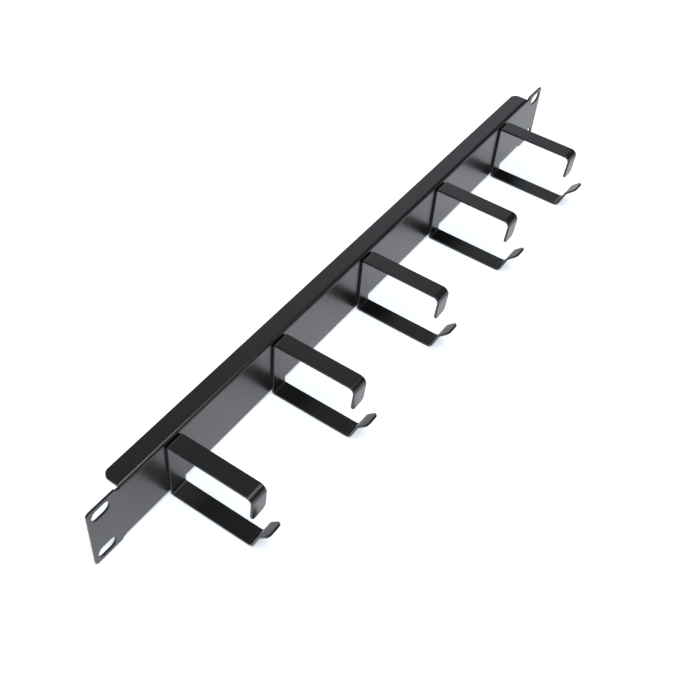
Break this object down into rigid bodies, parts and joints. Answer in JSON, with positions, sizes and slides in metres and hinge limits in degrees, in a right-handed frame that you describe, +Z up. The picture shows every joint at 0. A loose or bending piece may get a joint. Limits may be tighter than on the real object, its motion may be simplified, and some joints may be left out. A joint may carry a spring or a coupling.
{
  "type": "horizontal cable manager",
  "caption": "One-unit rack panel of folded black sheet metal with a row of open C-shaped strip hooks on its front that hold cables along the rack.",
  "frame": {"origin": "the middle of the four rack slots, on the rear face of the ears, which bears on the rack's rails", "axes": "+X along the panel, +Y away from the hooks and into the rack, +Z up"},
  "size_m": [0.4826, 0.0792, 0.0445],
  "materials": {
    "panel_coat": "satin black powder coat",
    "hook_coat": "satin black powder coat"
  },
  "bodies": {
    "root": {"folded_panel": "panel_coat", "cable_hook_1": "hook_coat", "cable_hook_2": "hook_coat", "cable_hook_3": "hook_coat", "cable_hook_4": "hook_coat", "cable_hook_5": "hook_coat"}
  },
  "joints": []
}
